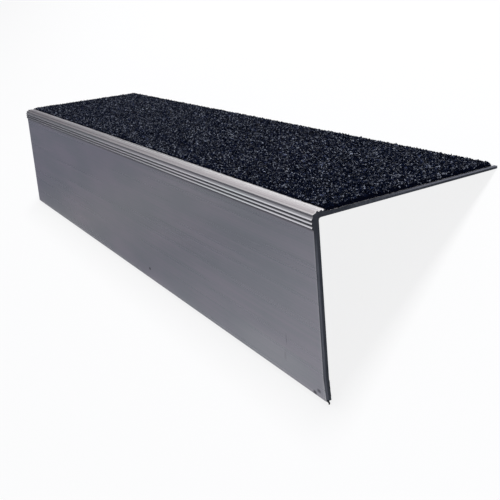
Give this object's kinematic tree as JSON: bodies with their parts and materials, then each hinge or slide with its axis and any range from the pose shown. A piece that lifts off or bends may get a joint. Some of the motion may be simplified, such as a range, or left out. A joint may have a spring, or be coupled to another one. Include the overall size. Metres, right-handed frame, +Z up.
{
  "type": "stair nosing",
  "caption": "Stair nosing: an extruded aluminium angle with a ribbed nose and a black grit strip on its tread, which covers and grips the edge of a step.",
  "frame": {"origin": "on the floor, under the middle of the piece's box, with the nosing resting unheld like a tent on its riser's toe and its tread's back edge", "axes": "+X along the length, +Y from the riser's toe to the tread's back edge, +Z up"},
  "size_m": [0.3, 0.0936, 0.0463],
  "materials": {
    "mill_aluminium": "mill finish with lengthwise die lines, sawn ends",
    "black_grit": "coarse black abrasive grains in black resin"
  },
  "bodies": {
    "root": {"aluminium_angle": "mill_aluminium", "grit_strip": "black_grit"}
  },
  "joints": []
}
